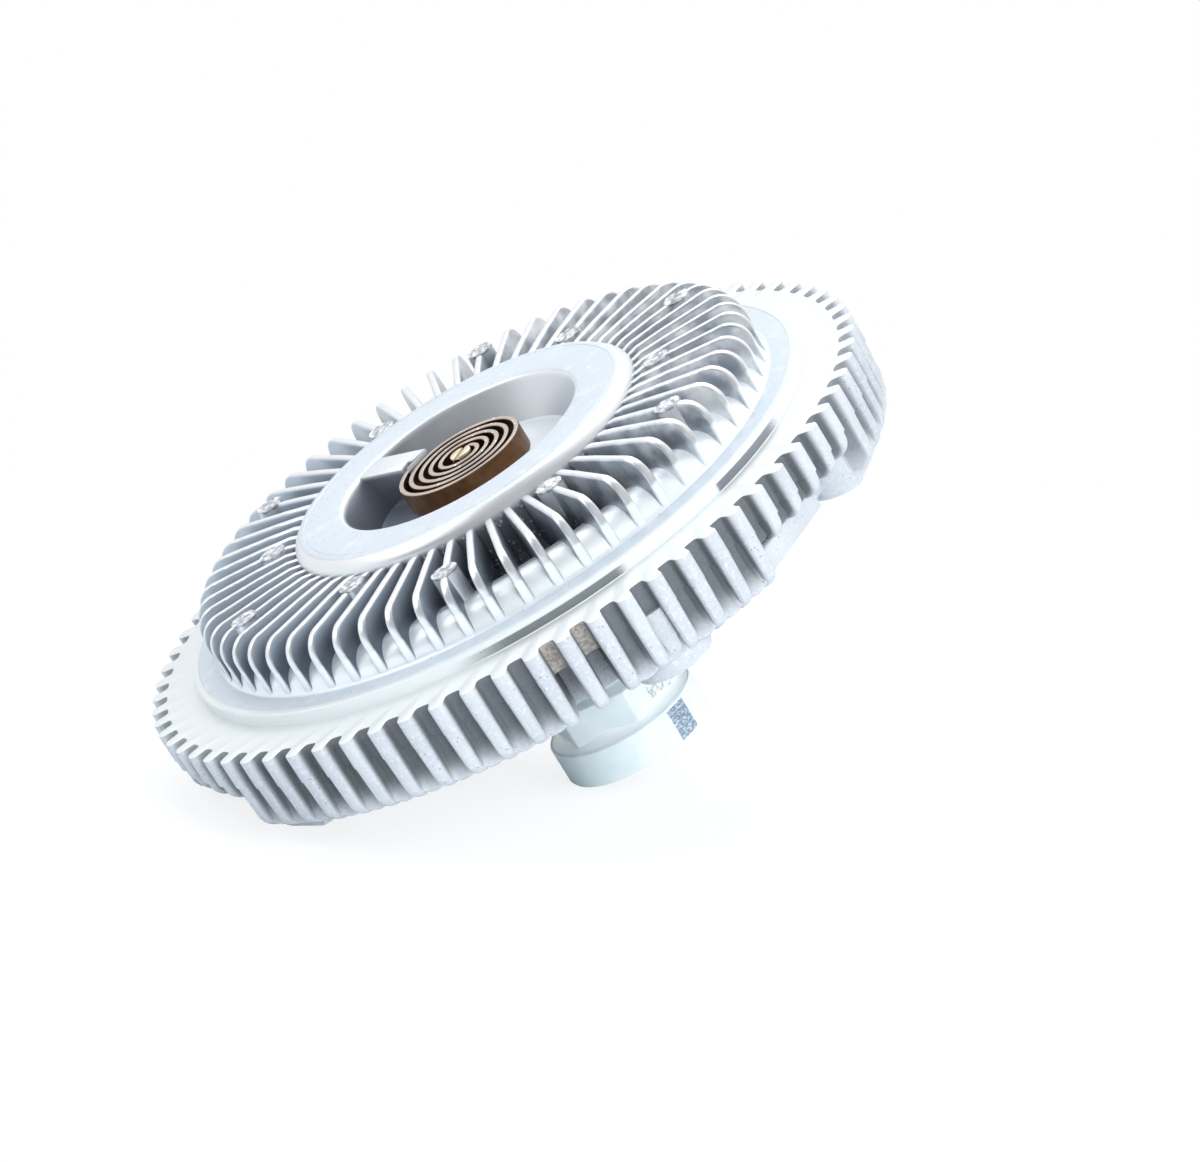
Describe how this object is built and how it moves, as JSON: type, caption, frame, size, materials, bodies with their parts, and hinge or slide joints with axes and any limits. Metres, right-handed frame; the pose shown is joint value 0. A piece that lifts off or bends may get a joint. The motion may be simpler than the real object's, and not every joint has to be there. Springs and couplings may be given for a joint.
{
  "type": "viscous fan clutch",
  "caption": "Round finned aluminium clutch on a steel hub nut, with a bimetal coil at the front that opens a valve so that fluid couples the fan carrier to the driven shaft.",
  "frame": {"origin": "centre of the hub nut's end face", "axes": "+Z along the shaft axis, from the nut to the bimetal coil"},
  "size_m": [0.205, 0.205, 0.0928],
  "materials": {
    "housing_cast": "blasted casting with machined rim face",
    "cover_cast": "bright die casting with machined ring",
    "seal_rubber": "matte",
    "zinc_steel": "zinc plated",
    "rotor_aluminium": "turned",
    "bearing_steel": "ground",
    "cage_brass": "satin",
    "spring_steel": "blackened",
    "plate_steel": "plated sheet",
    "wiper_plastic": "matte",
    "valve_steel": "yellow passivated",
    "bimetal": "heat-tinted strip with pale cut edges"
  },
  "bodies": {
    "hub": {"drive_hub": "zinc_steel", "rotor_disc": "rotor_aluminium", "bearing_inner_race": "bearing_steel"},
    "housing": {"rear_housing": "housing_cast", "front_cover": "cover_cast", "cover_seal": "seal_rubber", "bearing_outer_race": "bearing_steel", "bearing_shield_front": "bearing_steel", "bearing_shield_rear": "bearing_steel", "bearing_snap_ring": "spring_steel", "reservoir_plate": "plate_steel", "plate_rivets": "plate_steel", "wiper": "wiper_plastic", "shaft_seal": "seal_rubber", "bimetal_coil": "bimetal"},
    "cage": {"bearing_balls": "bearing_steel", "bearing_cage": "cage_brass"},
    "valve": {"valve_shaft": "valve_steel", "valve_arm": "valve_steel", "shaft_clip": "spring_steel"}
  },
  "joints": [
    {"name": "housing_spin", "type": "hinge", "parent": "hub", "child": "housing", "pos_m": [0, 0, 0.043], "axis": [0, 0, 1], "continuous": true},
    {"name": "cage_spin", "type": "hinge", "parent": "hub", "child": "cage", "pos_m": [0, 0, 0.043], "axis": [0, 0, 1], "continuous": true},
    {"name": "valve_turn", "type": "hinge", "parent": "housing", "child": "valve", "pos_m": [0, 0, 0.08], "axis": [0, 0, 1], "range_deg": [0, 30], "stiffness_Nm_per_rad": 0.05, "deforming": ["bimetal_coil"]}
  ],
  "couplings": [
    {"joint": "cage_spin", "follows": "housing_spin", "ratio": 0.61579}
  ]
}
